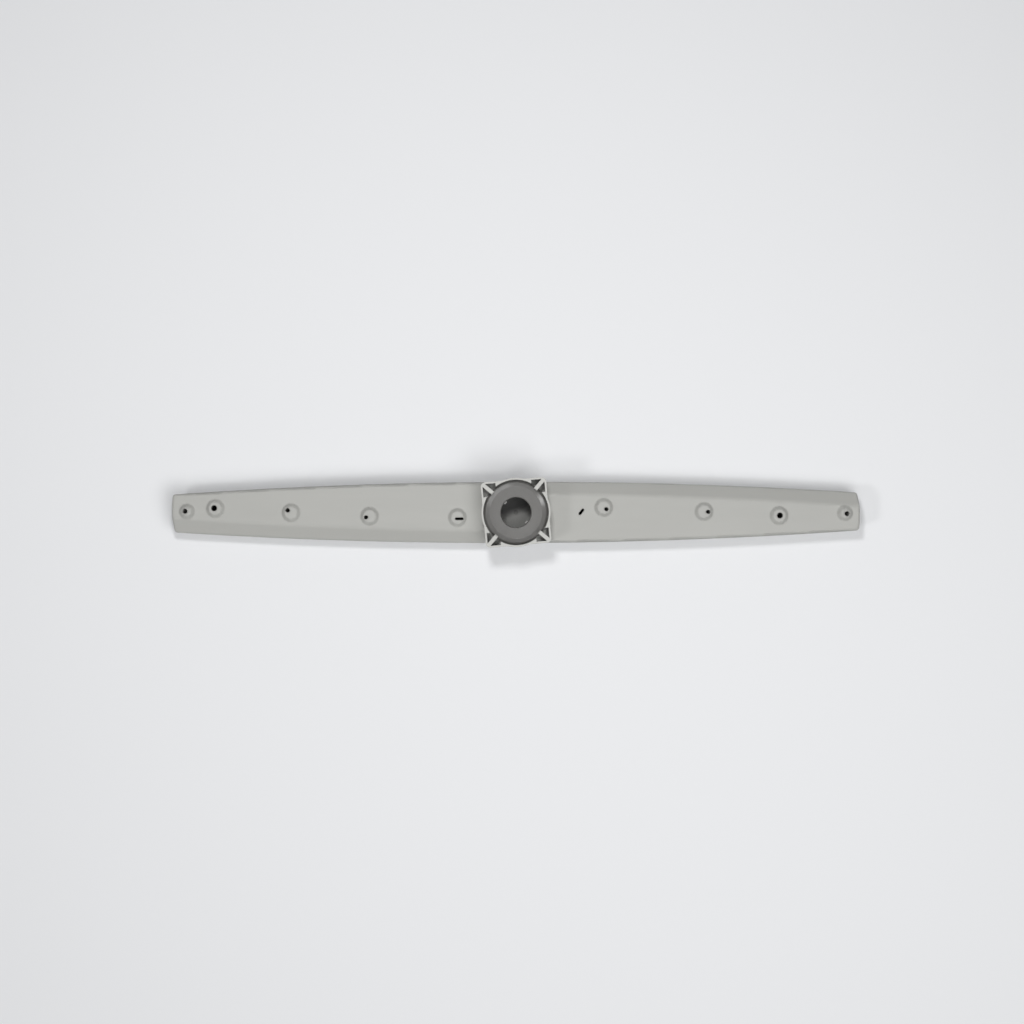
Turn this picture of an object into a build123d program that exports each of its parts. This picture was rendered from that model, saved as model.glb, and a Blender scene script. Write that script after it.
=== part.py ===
# Rotating spray arm of a dishwasher: two welded half shells with a water channel between them,
# a square-cornered collar welded on the hub, and a bush that the collar's hooks hold.
# Millimetres. The hub axis is Z, the wings run along X, and the arm lies on Z = 0.

import os
from collections import namedtuple
from math import atan2, cos, radians, sin

from build123d import *

# Plan of the arm, at the parting line
arm_length = 469.6
hub_half_width = 20.9
tip_half_width = 12.9
tip_plain_setback = 0.6
tip_bevel_setback = 1.3
tip_corner_radius = 2.4

# Heights of the two shells
wall = 1.8
lower_height = 13.0
shoulder_height = 2.5
bevel_drop = 5.5
bevel_width_hub = 8.2
bevel_width_tip = 9.4
keel_inset = 2.6
keel_facet = 2.0
keel_facets = 2
channel_corner_radius = 0.8
ridge_radius = 4.0
rim_edge_radius = 1.9

# Tongue of the lower shell inside the upper one
tongue_width = 1.0
tongue_skirt = 4.0
tongue_side_gap = 0.1
tongue_top_gap = 0.3

# Jets: buttons on the top face, and the orifices in them
button_radius = 6.3
button_rim = 2.4
tip_button_radius = 5.3
tip_button_rim = 2.6
tip_button_crown = 3.6
button_rim_slope = 2.1
tip_jet_inset = 10.5
tip_jet_side = 1.2
jet_reach = 9.0
slot_width = 1.7
crown_slot_length = 5.8
plain_slot_length = 5.0

# Bush: the feed bore and what runs in the collar
feed_radius = 10.2
entry_chamfer = 0.6
guide_length = 5.4
guide_relief = 0.5
sleeve_wall = 2.3
bush_length = 18.3
rim_radius = 21.8
rim_slope = 1.4
rim_drop = 0.9
dish_slope = 2.6
dish_depth = 0.9
rim_height = 3.8
lug_tip_radius = 9.2
lug_width = 2.2
lug_height = 2.0
lug_angle = 137.0

# Collar round the bush
journal_clearance = 0.06
neck_wall = 2.4
neck_depth = 6.0
neck_clearance = 0.1
turret_height = 5.5
turret_wall = 1.6
collar_floor = 2.0
rim_side_gap = 0.3
thrust_gap = 0.3
hook_gap = 0.3
hook_height = 7.0
hook_overlap = 1.6
hook_width = 2.6
hook_stem_gap = 0.4
hook_lead = 0.6
ring_wall = 1.2
corner_step = 1.1
corner_wall = 1.3
corner_radius = 3.2
window_side = 8.8
window_floor = 0.8
collar_turn = 5.0
pad_overhang = 0.7

# Gate mark on the channel floor
gate_radius = 1.1
gate_height = 0.4

# Levels and radii that follow from the sizes above
half_length = arm_length / 2
parting_level = lower_height
shoulder_level = parting_level + shoulder_height
top_level = shoulder_level + bevel_drop
bevel_angle = atan2(bevel_drop, bevel_width_hub)
bevel_shift = wall / cos(bevel_angle)
facet_turn = atan2(lower_height, keel_inset) / (keel_facets + 1)
ceiling_level = top_level - wall
channel_shoulder = shoulder_level + wall * bevel_drop / bevel_width_tip - bevel_shift
tongue_top = channel_shoulder - tongue_top_gap

head_level = top_level + turret_height
floor_level = head_level + collar_floor
window_level = head_level + window_floor
rim_bottom = floor_level + thrust_gap
rim_top = rim_bottom + rim_height
nose_level = rim_top + hook_gap
collar_top = nose_level + hook_height
dish_level = rim_top - dish_depth
guide_bottom = dish_level - entry_chamfer - guide_length
bush_bottom = dish_level - bush_length
neck_bottom = top_level - neck_depth

relief_radius = feed_radius + guide_relief
sleeve_radius = feed_radius + sleeve_wall
journal_radius = sleeve_radius + journal_clearance
neck_radius = journal_radius + neck_wall
crest_radius = rim_radius - rim_slope
dish_radius = crest_radius - dish_slope
well_radius = rim_radius + rim_side_gap
ring_radius = well_radius + ring_wall
corner_half = ring_radius - corner_step
pad_radius = ring_radius - pad_overhang
hook_tip_radius = rim_radius - hook_overlap
window_radius = (corner_half - corner_wall - window_side / 2) * 2**0.5
hook_root_radius = window_radius + window_side / 2**0.5
hook_angle = 45 + collar_turn

# Each jet: share of the wing's length, side offset, orifice offset from the button's centre, bore and tilt
Jet = namedtuple("Jet", "station side lean_x lean_y bore tilt")
button_jets = [
    Jet(-0.873, 3.2, -0.6, 0.3, 3.9, 8),
    Jet(-0.653, 0.2, -2.4, 1.9, 2.9, 36),
    Jet(-0.425, -2.3, -2.5, -0.8, 2.6, 32),
    Jet(0.255, 3.2, 1.8, -1.2, 2.6, 28),
    Jet(0.546, 0.2, 3.0, -0.2, 2.6, 40),
    Jet(0.764, -2.7, 0.4, 0.1, 3.9, 5),
]
tip_jet = Jet(1 - tip_jet_inset / half_length, -tip_jet_side, 1.7, -0.5, 3.3, 45)
slot_button = Jet(-0.170, -3.4, 1.3, -0.8, slot_width, 0)
plain_slot_station = 0.190
plain_slot_side = 0.3
plain_slot_angle = 52.0


def half_width(x):
    """Half width of the parting outline at a distance x from the hub axis."""
    return hub_half_width - (hub_half_width - tip_half_width) * (x / half_length) ** 2


def tray_corners(depth):
    """Level and inset of the tray's corners, from the keel up to the parting line, at a depth in its wall."""
    rises = [keel_facet * sin(facet_turn * (k + 1)) for k in range(keel_facets)]
    runs = [keel_facet * cos(facet_turn * (k + 1)) for k in range(keel_facets)]
    side_foot = keel_inset * (1 - sum(rises) / lower_height)
    corner_shift = depth / cos(facet_turn / 2)
    corners = []
    for k in range(keel_facets + 1):
        facing = facet_turn * (k + 0.5)
        level = sum(rises[:k]) + corner_shift * cos(facing)
        corners.append((level, side_foot + sum(runs[k:]) + corner_shift * sin(facing)))
    return corners + [(parting_level, depth)]


def long_edge(side, inset, start, end):
    """One long edge of the plan as an arc from start to end, moved inwards by inset(x)."""
    places = (start, (start + end) / 2, end)
    return ThreePointArc(*[(x, side * (half_width(x) - inset(x))) for x in places])


def wing_plan(level, inset, tip_radius):
    """Plan of the +X wing, hub axis to tip, drawn inside the parting line by an even inset."""
    with BuildSketch(Plane.XY.offset(level)) as plan:
        with BuildLine():
            bevel_edge = long_edge(1, lambda x: inset, 0, half_length - tip_bevel_setback - inset)
            plain_edge = long_edge(-1, lambda x: inset, 0, half_length - tip_plain_setback - inset)
            ThreePointArc(bevel_edge @ 1, (half_length - inset, 0), plain_edge @ 1)
            Line(plain_edge @ 0, bevel_edge @ 0)
        make_face()
        fillet(plan.vertices().filter_by(lambda v: v.X > half_length / 2), tip_radius)
    return plan.sketch


def arm_plan(inset):
    """Plan of the whole arm, both wings and the round hub, with an even inset."""
    with BuildSketch() as plan:
        for turn in (0, 180):
            add(wing_plan(0, inset, channel_corner_radius), rotation=turn)
        Circle(pad_radius - inset)
    return plan.sketch


def bevel_cut(shift):
    """Everything above the bevel of the +X wing, with the bevel lowered by shift."""
    overrun = 4 * wall
    widening = (bevel_width_tip - bevel_width_hub) / half_length
    sections = []
    for level in (shoulder_level - overrun, top_level + overrun):
        rise = (level - shoulder_level) / bevel_drop
        with BuildSketch(Plane.XY.offset(level - shift)) as section:
            with BuildLine():
                slope_line = long_edge(
                    1,
                    lambda x: rise * (bevel_width_hub + widening * x),
                    -overrun,
                    half_length + overrun,
                )
                far_side = 2 * hub_half_width + overrun
                Polyline(
                    slope_line @ 1,
                    (half_length + overrun, far_side),
                    (-overrun, far_side),
                    slope_line @ 0,
                )
            make_face()
        sections.append(section.sketch)
    with BuildPart() as cut:
        loft(sections, ruled=True)
    return cut.part


def button(radius, rim, crown):
    """Raised jet button rooted in the wall: a steep rim, and a face that is domed where the crown is higher."""
    with BuildPart() as raised:
        with BuildSketch(Plane.XZ):
            with BuildLine():
                rim_point = (radius - button_rim_slope, rim)
                if crown > rim:
                    TangentArc((0, crown), rim_point, tangent=(1, 0))
                else:
                    Line((0, crown), rim_point)
                Polyline(rim_point, (radius, 0), (radius, -wall / 2), (0, -wall / 2), (0, crown))
            make_face()
        revolve(axis=Axis.Z)
    return raised.part


def tray_wing(depth, tip_radius):
    """The +X wing of the tray as a solid, drawn into the wall by a depth."""
    with BuildPart() as form:
        loft([wing_plan(level, inset, tip_radius) for level, inset in tray_corners(depth)], ruled=True)
    return form.part


def tray_hub(depth):
    """The round hub of the tray as a solid, drawn into the wall by a depth."""
    corners = tray_corners(depth)
    with BuildPart() as form:
        with BuildSketch(Plane.XZ):
            with BuildLine():
                Polyline(
                    (0, corners[0][0]),
                    *[(pad_radius - inset, level) for level, inset in corners],
                    (0, parting_level),
                    close=True,
                )
            make_face()
        revolve(axis=Axis.Z)
    return form.part


def jet_plane(jet, turn, crown):
    """Plane across an orifice where it breaks out of its button, facing along the jet."""
    heading = atan2(turn * jet.lean_y, turn * jet.lean_x)
    tilt = radians(jet.tilt)
    return Plane(
        origin=(
            turn * (jet.station * half_length + jet.lean_x),
            turn * (jet.side + jet.lean_y),
            top_level + crown,
        ),
        z_dir=(sin(tilt) * cos(heading), sin(tilt) * sin(heading), cos(tilt)),
    )


# One wing of the upper shell: its plan raised to the top face, one long edge bevelled, edges softened
with BuildPart() as upper_wing:
    extrude(wing_plan(parting_level, 0, tip_corner_radius), amount=top_level - parting_level)
    add(bevel_cut(0), mode=Mode.SUBTRACT)
    top_edges = upper_wing.faces().sort_by(Axis.Z)[-1].edges()
    ridge = top_edges.filter_by(lambda e: e.length > half_length / 2).sort_by(Axis.Y)[-1]
    fillet(ridge, ridge_radius)
    sides = upper_wing.faces().filter_by(lambda f: abs(f.normal_at().Z) < 0.1 and f.center().X > wall)
    side_edges = sides.edges().filter_by(Axis.Z, reverse=True)
    fillet(side_edges.filter_by(lambda e: e.center().Z > parting_level + wall / 4), rim_edge_radius)

# The water channel in that wing
with BuildPart() as upper_channel:
    extrude(wing_plan(parting_level, wall, channel_corner_radius), amount=ceiling_level - parting_level)
    add(bevel_cut(bevel_shift), mode=Mode.SUBTRACT)

# Upper shell: two wings on a round hub pad, hollow, with a hole for the collar's neck
with BuildPart() as upper_shell:
    for turn in (0, 180):
        add(upper_wing.part, rotation=(0, 0, turn))
    with BuildSketch(Plane.XY.offset(parting_level)):
        Circle(pad_radius)
    extrude(amount=top_level - parting_level)
    for turn in (0, 180):
        add(upper_channel.part, rotation=(0, 0, turn), mode=Mode.SUBTRACT)
    with BuildSketch(Plane.XY.offset(parting_level)):
        Circle(pad_radius - wall)
    extrude(amount=ceiling_level - parting_level, mode=Mode.SUBTRACT)
    with BuildSketch(Plane.XY.offset(ceiling_level)):
        Circle(neck_radius + neck_clearance)
    extrude(amount=wall, mode=Mode.SUBTRACT)

    # Buttons, then the orifices
    places = [(jet.station * half_length, jet.side, top_level) for jet in button_jets + [slot_button]]
    tip_places = [(turn * tip_jet.station * half_length, turn * tip_jet.side, top_level) for turn in (1, -1)]
    with Locations(*places):
        add(button(button_radius, button_rim, button_rim))
    with Locations(*tip_places):
        add(button(tip_button_radius, tip_button_rim, tip_button_crown))
    for jet in button_jets:
        with Locations(jet_plane(jet, 1, button_rim)):
            Cylinder(jet.bore / 2, 2 * jet_reach, mode=Mode.SUBTRACT)
    for turn in (1, -1):
        with Locations(jet_plane(tip_jet, turn, tip_button_crown)):
            Cylinder(tip_jet.bore / 2, 2 * jet_reach, mode=Mode.SUBTRACT)
    with BuildSketch(Plane.XY.offset(ceiling_level)):
        with Locations(
            (slot_button.station * half_length + slot_button.lean_x, slot_button.side + slot_button.lean_y)
        ):
            SlotOverall(crown_slot_length, slot_width)
        with Locations((plain_slot_station * half_length, plain_slot_side)):
            SlotOverall(plain_slot_length, slot_width, rotation=plain_slot_angle)
    extrude(amount=jet_reach, mode=Mode.SUBTRACT)

# Lower shell: a plain drafted tray with a tongue that locates it in the upper shell for welding
with BuildPart() as lower_shell:
    for turn in (0, 180):
        add(tray_wing(0, tip_corner_radius), rotation=(0, 0, turn))
    add(tray_hub(0))
    for turn in (0, 180):
        add(tray_wing(wall, channel_corner_radius), rotation=(0, 0, turn), mode=Mode.SUBTRACT)
    add(tray_hub(wall), mode=Mode.SUBTRACT)
    bands = (
        (parting_level - tongue_skirt, parting_level, wall / 2),
        (parting_level, tongue_top, wall + tongue_side_gap),
    )
    for bottom, top, outer_inset in bands:
        with BuildSketch(Plane.XY.offset(bottom)):
            add(arm_plan(outer_inset))
            add(arm_plan(wall + tongue_width), mode=Mode.SUBTRACT)
        extrude(amount=top - bottom)
    with BuildSketch(Plane.XY.offset(wall)):
        Circle(gate_radius)
    extrude(amount=gate_height)

# One hook of the collar: a radial fin whose nose reaches over the bush's rim
with BuildPart() as hook:
    with BuildSketch(Plane.XZ):
        with BuildLine():
            stem_radius = well_radius + hook_stem_gap
            Polyline(
                (hook_root_radius, window_level),
                (hook_root_radius, collar_top),
                (hook_tip_radius + hook_lead, collar_top),
                (hook_tip_radius, collar_top - hook_lead),
                (hook_tip_radius, nose_level),
                (stem_radius, nose_level),
                (stem_radius, window_level),
                close=True,
            )
        make_face()
    extrude(amount=hook_width / 2, both=True)

# Collar: a hollow round turret, a square-cornered head on it with a well for the bush, a window and a
# hook in each corner, and a neck for the bush's sleeve
with BuildPart() as hub_collar:
    with BuildSketch(Plane.XY.offset(top_level)):
        Circle(ring_radius)
        Circle(ring_radius - turret_wall, mode=Mode.SUBTRACT)
    extrude(amount=turret_height)
    with BuildSketch(Plane.XY.offset(head_level)):
        Circle(ring_radius)
        RectangleRounded(2 * corner_half, 2 * corner_half, corner_radius, rotation=collar_turn)
    extrude(amount=collar_top - head_level)
    with BuildSketch(Plane.XY.offset(window_level)) as windows:
        with PolarLocations(window_radius, 4, start_angle=hook_angle):
            Rectangle(window_side, window_side, rotation=45)
        outer_reach = window_radius + window_side / 2
        outer_corners = windows.vertices().filter_by(lambda v: (v.X**2 + v.Y**2) ** 0.5 > outer_reach)
        fillet(outer_corners, corner_radius - corner_wall)
    extrude(amount=collar_top - window_level, mode=Mode.SUBTRACT)
    with BuildSketch(Plane.XY.offset(floor_level)):
        Circle(well_radius)
    extrude(amount=collar_top - floor_level, mode=Mode.SUBTRACT)
    with PolarLocations(0, 4, start_angle=hook_angle):
        add(hook.part)
    with BuildSketch(Plane.XY.offset(neck_bottom)):
        Circle(neck_radius)
    extrude(amount=head_level - neck_bottom)
    with BuildSketch(Plane.XY.offset(neck_bottom)):
        Circle(journal_radius)
    extrude(amount=floor_level - neck_bottom, mode=Mode.SUBTRACT)

# Bush: dished disc with a ridged rim, and a sleeve with the feed bore and two bayonet lugs
with BuildPart() as hub_bearing:
    with BuildSketch(Plane.XZ):
        with BuildLine():
            Polyline(
                (feed_radius + entry_chamfer, dish_level),
                (dish_radius, dish_level),
                (crest_radius, rim_top),
                (rim_radius, rim_top - rim_drop),
                (rim_radius, rim_bottom),
                (sleeve_radius, rim_bottom),
                (sleeve_radius, bush_bottom),
                (relief_radius, bush_bottom),
                (relief_radius, guide_bottom),
                (feed_radius, guide_bottom),
                (feed_radius, dish_level - entry_chamfer),
                close=True,
            )
        make_face()
    revolve(axis=Axis.Z)
    with BuildSketch(Plane.XY.offset(guide_bottom - lug_height)):
        with PolarLocations(lug_tip_radius, 2, start_angle=lug_angle):
            lug_depth = (relief_radius + sleeve_radius) / 2 - lug_tip_radius
            Rectangle(lug_depth, lug_width, align=(Align.MIN, Align.CENTER))
    extrude(amount=lug_height)

os.makedirs("parts", exist_ok=True)
pieces = {
    "upper_shell": upper_shell,
    "lower_shell": lower_shell,
    "hub_collar": hub_collar,
    "hub_bearing": hub_bearing,
}
for name, piece in pieces.items():
    piece.part.label = name
    export_step(piece.part, f"parts/{name}.step")
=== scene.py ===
# Dishwasher spray arm as it lies on a pale table, jets and feed bush upwards, seen from straight above.

import math
import random

import bmesh
import bpy
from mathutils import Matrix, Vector


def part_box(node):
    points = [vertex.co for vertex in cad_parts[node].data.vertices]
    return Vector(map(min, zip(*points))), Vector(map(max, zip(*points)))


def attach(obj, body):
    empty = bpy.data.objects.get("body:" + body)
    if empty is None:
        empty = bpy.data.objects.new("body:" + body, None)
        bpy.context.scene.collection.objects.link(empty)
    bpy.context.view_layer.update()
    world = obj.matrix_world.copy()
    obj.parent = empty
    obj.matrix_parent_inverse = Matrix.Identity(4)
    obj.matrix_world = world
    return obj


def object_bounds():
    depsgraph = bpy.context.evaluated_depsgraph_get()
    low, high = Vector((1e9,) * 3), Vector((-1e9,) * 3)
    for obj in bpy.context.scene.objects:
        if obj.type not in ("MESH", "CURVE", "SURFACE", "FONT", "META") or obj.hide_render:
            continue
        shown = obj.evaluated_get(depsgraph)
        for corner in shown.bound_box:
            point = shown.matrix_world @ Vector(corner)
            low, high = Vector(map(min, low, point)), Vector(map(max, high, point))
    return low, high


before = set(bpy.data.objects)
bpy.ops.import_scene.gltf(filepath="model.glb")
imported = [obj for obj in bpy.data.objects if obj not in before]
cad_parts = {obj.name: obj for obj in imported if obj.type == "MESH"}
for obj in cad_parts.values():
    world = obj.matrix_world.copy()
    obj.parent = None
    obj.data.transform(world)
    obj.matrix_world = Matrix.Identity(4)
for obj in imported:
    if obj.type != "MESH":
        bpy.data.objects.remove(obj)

cad_low, cad_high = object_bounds()

# Lower shell: the drafted tray that closes the water channel from below, and that the arm lies on.
# Polypropylene with talc, injection moulded in a spark-eroded cavity and welded to the upper shell.
mm = 0.001


def linear(colour):
    """Linear RGBA of an sRGB hex colour."""
    shares = [int(colour[i:i + 2], 16) / 255 for i in (0, 2, 4)]
    return [s / 12.92 if s <= 0.04045 else ((s + 0.055) / 1.055) ** 2.4 for s in shares] + [1.0]


def add_node(tree, kind, inputs, **settings):
    """Adds a node with its settings, and fills each input with a value or a link from another output."""
    node = tree.nodes.new(kind)
    for setting, value in settings.items():
        setattr(node, setting, value)
    for socket, value in inputs.items():
        if isinstance(value, bpy.types.NodeSocket):
            tree.links.new(value, node.inputs[socket])
        else:
            node.inputs[socket].default_value = value
    return node


# A colour mix has its share, its two colours and its result on these sockets.
mix_share = 0
mix_first = 6
mix_second = 7
mix_result = 2

# The eroded mould leaves a fine even grain that breaks up every highlight, and the melt leaves faint
# cloudy streaks along the wings. The grain is drawn at 0.7 mm, coarser than the real 0.1 mm, to show.
eroded_polypropylene = bpy.data.materials.new("eroded_polypropylene")
eroded_polypropylene.use_nodes = True
tree = eroded_polypropylene.node_tree
grain_size = 0.7 * mm
grain_depth = 0.012 * mm
streak_width = 14 * mm
streak_stretch = 0.18
streak_greys = ("A5A5A1", "AEAEAA")
place = add_node(tree, "ShaderNodeTexCoord", {}).outputs["Object"]
along_wing = add_node(tree, "ShaderNodeMapping", {"Vector": place, "Scale": (streak_stretch, 1, 1)})
streaks = add_node(
    tree,
    "ShaderNodeTexNoise",
    {"Vector": along_wing.outputs["Vector"], "Scale": 1 / streak_width, "Detail": 3, "Roughness": 0.6},
)
grain = add_node(tree, "ShaderNodeTexNoise", {"Vector": place, "Scale": 1 / grain_size, "Detail": 2})
shade = add_node(
    tree,
    "ShaderNodeMix",
    {
        mix_share: streaks.outputs["Fac"],
        mix_first: linear(streak_greys[0]),
        mix_second: linear(streak_greys[1]),
    },
    data_type="RGBA",
)

# Painted shade: where the surface is hidden within a short reach, its colour turns near black. It is black
# in the jets and a thin grey line round the buttons.
shade_black = linear("1C1B19")
shade_reach = 4 * mm
shade_samples = 8
shell_openness = (0.45, 0.85)


def left_unshaded(tree, reach, openness):
    """From 0 in a hollow to 1 in the open, by how open the surface is within a reach; where it is low,
    shade is painted in.
    """
    sky = add_node(
        tree,
        "ShaderNodeAmbientOcclusion",
        {"Distance": reach},
        samples=shade_samples,
        only_local=True,
    )
    unshaded_share = add_node(
        tree,
        "ShaderNodeMapRange",
        {"Value": sky.outputs["AO"], "From Min": openness[0], "From Max": openness[1]},
        interpolation_type="SMOOTHSTEP",
    )
    return unshaded_share.outputs["Result"]


# Painted shade: hollows are mixed towards near black.
shade = add_node(
    tree,
    "ShaderNodeMix",
    {
        mix_share: left_unshaded(tree, shade_reach, shell_openness),
        mix_first: shade_black,
        mix_second: shade.outputs[mix_result],
    },
    data_type="RGBA",
)

# Painted shadow on the floor of the channel, which shows through the bore: a light one on one side and a
# deep one on the other, with a soft edge across the middle.
bore_shadow_top = 3 * mm
floor_steepness = 0.5
shadow_edge_heading = (-0.28, 0.96, 0)
shadow_edge = (-3 * mm, 4 * mm)
bore_shadow_strength = (0.37, 0.985)
level = add_node(tree, "ShaderNodeSeparateXYZ", {"Vector": place}).outputs["Z"]
facing = add_node(tree, "ShaderNodeNewGeometry", {}).outputs["Normal"]
facing_up = add_node(tree, "ShaderNodeSeparateXYZ", {"Vector": facing}).outputs["Z"]
low_down = add_node(tree, "ShaderNodeMath", {0: level, 1: bore_shadow_top}, operation="LESS_THAN")
upward = add_node(tree, "ShaderNodeMath", {0: facing_up, 1: floor_steepness}, operation="GREATER_THAN")
floor = add_node(
    tree,
    "ShaderNodeMath",
    {0: low_down.outputs["Value"], 1: upward.outputs["Value"]},
    operation="MULTIPLY",
)
across_shadow_edge = add_node(tree, "ShaderNodeVectorMath", {0: place, 1: shadow_edge_heading}, operation="DOT_PRODUCT")
shadow_ramp = add_node(
    tree,
    "ShaderNodeMapRange",
    {
        "Value": across_shadow_edge.outputs["Value"],
        "From Min": shadow_edge[0],
        "From Max": shadow_edge[1],
        "To Min": bore_shadow_strength[0],
        "To Max": bore_shadow_strength[1],
    },
    interpolation_type="SMOOTHSTEP",
)
bore_shadow = add_node(
    tree,
    "ShaderNodeMath",
    {0: floor.outputs["Value"], 1: shadow_ramp.outputs["Result"]},
    operation="MULTIPLY",
)
# Painted shadow: the bore's floor is mixed towards near black.
shade = add_node(
    tree,
    "ShaderNodeMix",
    {mix_share: bore_shadow.outputs["Value"], mix_first: shade.outputs[mix_result], mix_second: shade_black},
    data_type="RGBA",
)

# Most of a noise pattern lies within its spread, and over that the grain turns from sheen to matt. The
# mould's corners are never sharp, so the light rolls over each edge.
noise_spread = (0.3, 0.7)
shell_roughness = (0.46, 0.58)
polypropylene_ior = 1.49
edge_softness = 1.6 * mm
edge_samples = 6
gloss = add_node(
    tree,
    "ShaderNodeMapRange",
    {
        "Value": grain.outputs["Fac"],
        "From Min": noise_spread[0],
        "From Max": noise_spread[1],
        "To Min": shell_roughness[0],
        "To Max": shell_roughness[1],
    },
)
soft_edge = add_node(tree, "ShaderNodeBevel", {"Radius": edge_softness}, samples=edge_samples)
relief = add_node(
    tree,
    "ShaderNodeBump",
    {"Height": grain.outputs["Fac"], "Distance": grain_depth, "Normal": soft_edge.outputs["Normal"]},
)
shader = tree.nodes["Principled BSDF"]
shader.inputs["IOR"].default_value = polypropylene_ior
tree.links.new(shade.outputs[mix_result], shader.inputs["Base Color"])
tree.links.new(gloss.outputs["Result"], shader.inputs["Roughness"])
tree.links.new(relief.outputs["Normal"], shader.inputs["Normal"])
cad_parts["lower_shell"].material_slots[0].material = eroded_polypropylene

# Upper shell: the nozzle half of the arm, with its raised jet buttons and bevelled leading edges.
# The same polypropylene from a sister mould, so it takes the same finish.
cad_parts["upper_shell"].material_slots[0].material = eroded_polypropylene

# Weld bead: the line of melt that the hot-plate weld presses out between the two shells, all round the
# parting line. It is the shells' own polypropylene, trimmed back until it stands a tenth of a
# millimetre proud along the wings and flush at their tips, and it wavers where the melt ran thicker.
bead_radius = 0.25 * mm
bead_proud = 0.1 * mm
bead_step = 3 * mm
bead_waver = 0.3
bead_seed = 4
parting_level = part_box("upper_shell")[0].z
half_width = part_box("lower_shell")[1].y

# It follows the edge where the tray's flat rim meets the wall below it, from corner to corner. Corners
# and levels nearer than a touch count as the same.
touch = 0.001 * mm
tray = bmesh.new()
tray.from_mesh(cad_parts["lower_shell"].data)
bmesh.ops.remove_doubles(tray, verts=tray.verts, dist=touch)
outline = {}
for edge in tray.edges:
    levels = sorted(face.calc_center_median().z - parting_level for face in edge.link_faces)
    level_edge = all(abs(corner.co.z - parting_level) < touch for corner in edge.verts)
    if level_edge and levels[0] < -touch and abs(levels[-1]) < touch:
        for corner in edge.verts:
            outline.setdefault(corner, []).append(edge.other_vert(corner))
walk = [next(iter(outline))]
walk.append(outline[walk[0]][0])
while walk[-1] is not walk[0]:
    ways = outline[walk[-1]]
    walk.append(ways[0] if ways[1] is walk[-2] else ways[1])
run = []
for start, end in zip(walk, walk[1:]):
    steps = math.ceil((end.co - start.co).length / bead_step)
    run += [start.co.lerp(end.co, k / steps) for k in range(steps)]
tray.free()
bead_curve = bpy.data.curves.new("weld_bead", "CURVE")
bead_curve.dimensions = "3D"
bead_curve.bevel_depth = bead_radius
bead_curve.bevel_resolution = 1
bead_line = bead_curve.splines.new("POLY")
bead_line.points.add(len(run) - 1)
bead_line.use_cyclic_u = True
waver = random.Random(bead_seed)
for point, place in zip(bead_line.points, run):
    along = place.x * (1 - bead_radius / cad_high.x)
    across = place.y * (1 - (bead_radius - bead_proud) / half_width)
    point.co = (along, across, parting_level, 1)
    point.radius = 1 - waver.uniform(0, bead_waver)
weld_bead = bpy.data.objects.new("weld_bead", bead_curve)
bpy.context.collection.objects.link(weld_bead)

# Melt that set against the hot plate's edge and not in the mould, so it is smoother and a touch paler.
pressed_melt = bpy.data.materials.new("pressed_melt_polypropylene")
pressed_melt.use_nodes = True
tree = pressed_melt.node_tree
drip_length = 5 * mm
melt_greys = ("ACACA8", "BCBCB8")
melt_roughness = (0.3, 0.45)
place = add_node(tree, "ShaderNodeTexCoord", {}).outputs["Object"]
drips = add_node(tree, "ShaderNodeTexNoise", {"Vector": place, "Scale": 1 / drip_length, "Detail": 3})
shade = add_node(
    tree,
    "ShaderNodeMix",
    {
        mix_share: drips.outputs["Fac"],
        mix_first: linear(melt_greys[0]),
        mix_second: linear(melt_greys[1]),
    },
    data_type="RGBA",
)
gloss = add_node(
    tree,
    "ShaderNodeMapRange",
    {
        "Value": drips.outputs["Fac"],
        "From Min": noise_spread[0],
        "From Max": noise_spread[1],
        "To Min": melt_roughness[0],
        "To Max": melt_roughness[1],
    },
)
shader = tree.nodes["Principled BSDF"]
shader.inputs["IOR"].default_value = polypropylene_ior
tree.links.new(shade.outputs[mix_result], shader.inputs["Base Color"])
tree.links.new(gloss.outputs["Result"], shader.inputs["Roughness"])
bead_curve.materials.append(pressed_melt)
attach(weld_bead, "arm")

# Collar: the square-cornered ring with four hooks, spin welded on the hub. Polypropylene from a
# polished mould, so it is a little paler and smoother than the wings.
polished_polypropylene = bpy.data.materials.new("polished_polypropylene")
polished_polypropylene.use_nodes = True
tree = polished_polypropylene.node_tree
cloud_size = 9 * mm
collar_greys = ("B2B2AE", "BABAB6")
collar_roughness = (0.32, 0.42)
ring_edge_softness = 0.35 * mm
place = add_node(tree, "ShaderNodeTexCoord", {}).outputs["Object"]
clouds = add_node(tree, "ShaderNodeTexNoise", {"Vector": place, "Scale": 1 / cloud_size, "Detail": 3})
shade = add_node(
    tree,
    "ShaderNodeMix",
    {
        mix_share: clouds.outputs["Fac"],
        mix_first: linear(collar_greys[0]),
        mix_second: linear(collar_greys[1]),
    },
    data_type="RGBA",
)

# Painted shade darkens the outer corners of the windows beside the hooks, where they lie hidden. The round
# wall of the well is kept free of it.
window_reach = 8 * mm
window_openness = (0.05, 0.35)
well_radius = 22.3 * mm
shaded_radius = 26 * mm


def from_axis(tree, place):
    """Distance of each point from the hub's axis."""
    in_plan = add_node(tree, "ShaderNodeVectorMath", {0: place, 1: (1, 1, 0)}, operation="MULTIPLY")
    reach = add_node(tree, "ShaderNodeVectorMath", {0: in_plan.outputs["Vector"]}, operation="LENGTH")
    return reach.outputs["Value"]


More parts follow.
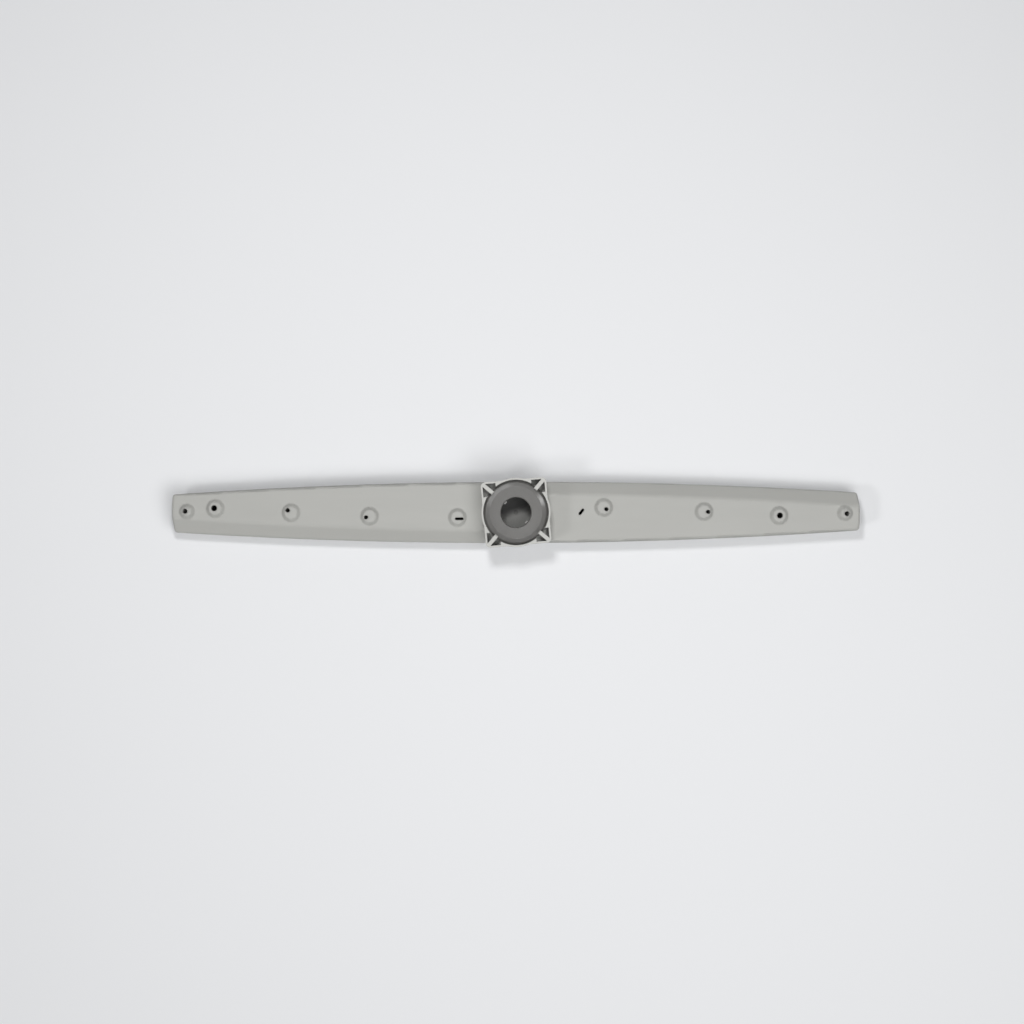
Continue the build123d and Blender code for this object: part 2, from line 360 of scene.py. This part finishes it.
well_unshaded = add_node(
    tree,
    "ShaderNodeMapRange",
    {"Value": from_axis(tree, place), "From Min": shaded_radius, "From Max": well_radius},
)
unshaded_share = add_node(
    tree,
    "ShaderNodeMath",
    {0: left_unshaded(tree, window_reach, window_openness), 1: well_unshaded.outputs["Result"]},
    operation="MAXIMUM",
)
# Painted shade: the window corners are mixed towards near black.
shade = add_node(
    tree,
    "ShaderNodeMix",
    {mix_share: unshaded_share.outputs["Value"], mix_first: shade_black, mix_second: shade.outputs[mix_result]},
    data_type="RGBA",
)
gloss = add_node(
    tree,
    "ShaderNodeMapRange",
    {
        "Value": clouds.outputs["Fac"],
        "From Min": noise_spread[0],
        "From Max": noise_spread[1],
        "To Min": collar_roughness[0],
        "To Max": collar_roughness[1],
    },
)
soft_edge = add_node(tree, "ShaderNodeBevel", {"Radius": ring_edge_softness}, samples=edge_samples)
shader = tree.nodes["Principled BSDF"]
shader.inputs["IOR"].default_value = polypropylene_ior
tree.links.new(shade.outputs[mix_result], shader.inputs["Base Color"])
tree.links.new(gloss.outputs["Result"], shader.inputs["Roughness"])
tree.links.new(soft_edge.outputs["Normal"], shader.inputs["Normal"])
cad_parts["hub_collar"].material_slots[0].material = polished_polypropylene

# Bush: the dished disc and sleeve that stay on the water feed while the arm spins round them.
# Acetal, moulded in a turned cavity and snapped under the collar's four hooks.

# The turned cavity leaves faint rings round the bore, and acetal is smooth and slightly waxy. The
# rings are drawn 0.9 mm apart, wider than the real 0.2 mm, to show. The wave pattern turns by 20
# radians over each scaled unit.
turned_acetal = bpy.data.materials.new("turned_acetal")
turned_acetal.use_nodes = True
tree = turned_acetal.node_tree
ring_pitch = 0.9 * mm
ring_depth = 0.006 * mm
wave_unit = 20
bush_greys = ("62615F", "6B6A68")
bush_roughness = 0.22
acetal_ior = 1.48
place = add_node(tree, "ShaderNodeTexCoord", {}).outputs["Object"]
rings = add_node(
    tree,
    "ShaderNodeTexWave",
    {"Vector": place, "Scale": math.tau / wave_unit / ring_pitch, "Distortion": 0.6, "Detail": 1},
    wave_type="RINGS",
    rings_direction="Z",
)
clouds = add_node(tree, "ShaderNodeTexNoise", {"Vector": place, "Scale": 1 / cloud_size, "Detail": 3})
shade = add_node(
    tree,
    "ShaderNodeMix",
    {
        mix_share: clouds.outputs["Fac"],
        mix_first: linear(bush_greys[0]),
        mix_second: linear(bush_greys[1]),
    },
    data_type="RGBA",
)

# A painted highlight: the two bayonet lugs in the bore are drawn pale.
lug_highlight_grey = "B4B3B1"
lug_reach = 10.0 * mm
lug_levels = (23.5 * mm, 25.9 * mm)
inside = add_node(
    tree,
    "ShaderNodeMath",
    {0: from_axis(tree, place), 1: lug_reach},
    operation="LESS_THAN",
)
level = add_node(tree, "ShaderNodeSeparateXYZ", {"Vector": place}).outputs["Z"]
on_lug = add_node(
    tree,
    "ShaderNodeMath",
    {0: level, 1: sum(lug_levels) / 2, 2: (lug_levels[1] - lug_levels[0]) / 2},
    operation="COMPARE",
)
lug_highlight = add_node(
    tree,
    "ShaderNodeMath",
    {0: inside.outputs["Value"], 1: on_lug.outputs["Value"]},
    operation="MULTIPLY",
)
# Painted highlight: the lugs are mixed towards a pale grey.
shade = add_node(
    tree,
    "ShaderNodeMix",
    {
        mix_share: lug_highlight.outputs["Value"],
        mix_first: shade.outputs[mix_result],
        mix_second: linear(lug_highlight_grey),
    },
    data_type="RGBA",
)
soft_edge = add_node(tree, "ShaderNodeBevel", {"Radius": ring_edge_softness}, samples=edge_samples)
relief = add_node(
    tree,
    "ShaderNodeBump",
    {"Height": rings.outputs["Fac"], "Distance": ring_depth, "Normal": soft_edge.outputs["Normal"]},
)
shader = tree.nodes["Principled BSDF"]
shader.inputs["IOR"].default_value = acetal_ior
shader.inputs["Roughness"].default_value = bush_roughness
tree.links.new(shade.outputs[mix_result], shader.inputs["Base Color"])
tree.links.new(relief.outputs["Normal"], shader.inputs["Normal"])
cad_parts["hub_bearing"].material_slots[0].material = turned_acetal

# Table: a plain pale matt sheet under the arm, wide enough to fill every view. Far from the arm it fades
# into the pale room, so that no horizon shows in a low view.
table_half = 3.0
fade_start = 0.5
fade_end = 1.1
room_seen = 0.8
room_white = linear("FFFFFF")
sheet_grey = linear("EAEBED")
sheet_roughness = 0.8
sheet_specular = 0.1
table_mesh = bpy.data.meshes.new("table")
corners = [(x * table_half, y * table_half, cad_low.z) for x, y in ((-1, -1), (1, -1), (1, 1), (-1, 1))]
table_mesh.from_pydata(corners, [], [(0, 1, 2, 3)])
table = bpy.data.objects.new("table", table_mesh)
bpy.context.collection.objects.link(table)
matt_sheet = bpy.data.materials.new("matt_sheet")
matt_sheet.use_nodes = True
tree = matt_sheet.node_tree
shader = tree.nodes["Principled BSDF"]
shader.inputs["Base Color"].default_value = sheet_grey
shader.inputs["Roughness"].default_value = sheet_roughness
shader.inputs["Specular IOR Level"].default_value = sheet_specular


def seen_directly(tree):
    """1 for the rays that show the surroundings, as seen, mirrored or through glass, and 0 for light."""
    rays = add_node(tree, "ShaderNodeLightPath", {}).outputs
    mirrored = add_node(
        tree,
        "ShaderNodeMath",
        {0: rays["Is Glossy Ray"], 1: rays["Is Transmission Ray"]},
        operation="MAXIMUM",
    )
    seen = add_node(
        tree,
        "ShaderNodeMath",
        {0: rays["Is Camera Ray"], 1: mirrored.outputs["Value"]},
        operation="MAXIMUM",
    )
    return seen.outputs["Value"]


place = add_node(tree, "ShaderNodeTexCoord", {}).outputs["Object"]
from_arm = add_node(tree, "ShaderNodeVectorMath", {0: place}, operation="LENGTH")
far_off = add_node(
    tree,
    "ShaderNodeMapRange",
    {"Value": from_arm.outputs["Value"], "From Min": fade_start, "From Max": fade_end},
    interpolation_type="SMOOTHSTEP",
)
fade = add_node(
    tree,
    "ShaderNodeMath",
    {0: far_off.outputs["Result"], 1: seen_directly(tree)},
    operation="MULTIPLY",
)
haze = add_node(tree, "ShaderNodeEmission", {"Color": room_white, "Strength": room_seen})
surface = add_node(
    tree,
    "ShaderNodeMixShader",
    {0: fade.outputs["Value"], 1: shader.outputs["BSDF"], 2: haze.outputs["Emission"]},
)
tree.links.new(surface.outputs["Shader"], tree.nodes["Material Output"].inputs["Surface"])
table_mesh.materials.append(matt_sheet)

# Light: a wide soft box high on the near right, a small one high on the far side, a weaker one on the near
# left, and the even fill of a pale room.
room_fill = 0.19
room = bpy.data.worlds.new("room")
bpy.context.scene.world = room
room.use_nodes = True
tree = room.node_tree
tree.nodes["Background"].inputs["Color"].default_value = room_white
strength = add_node(
    tree,
    "ShaderNodeMapRange",
    {"Value": seen_directly(tree), "To Min": room_fill, "To Max": room_seen},
)
tree.links.new(strength.outputs["Result"], tree.nodes["Background"].inputs["Strength"])


def soft_box(name, heading, elevation, distance, width, power):
    """A square soft box aimed at the hub, with angles in degrees, sizes in metres and power in watts."""
    lamp = bpy.data.lights.new(name, "AREA")
    lamp.size = width
    lamp.energy = power
    box = bpy.data.objects.new(name, lamp)
    bpy.context.collection.objects.link(box)
    flat = math.cos(math.radians(elevation))
    towards = Vector(
        (
            flat * math.cos(math.radians(heading)),
            flat * math.sin(math.radians(heading)),
            math.sin(math.radians(elevation)),
        )
    )
    box.location = distance * towards
    box.rotation_euler = towards.to_track_quat("Z", "Y").to_euler()


soft_box("near_box", heading=-48, elevation=68, distance=1.5, width=0.95, power=11.2)
soft_box("far_box", heading=104, elevation=72, distance=1.1, width=0.15, power=3.7)
soft_box("side_box", heading=206, elevation=51, distance=2.4, width=0.4, power=8.0)

# Camera: straight down on the arm from 1.6 m, turned by a sixth of a degree, with the hub a few pixels
# right of the middle. The frame's width is measured on the table.
camera_height = 1.6
frame_width = 0.7076
hub_shift = Vector((-2.7, 0.3)) * mm
camera_turn = -0.167
camera_data = bpy.data.cameras.new("camera")
camera_data.angle = 2 * math.atan(frame_width / 2 / camera_height)
camera = bpy.data.objects.new("camera", camera_data)
bpy.context.collection.objects.link(camera)
camera.location = (hub_shift.x, hub_shift.y, camera_height)
camera.rotation_euler = (0, 0, math.radians(camera_turn))
bpy.context.scene.camera = camera
bpy.context.scene.view_settings.view_transform = "Standard"
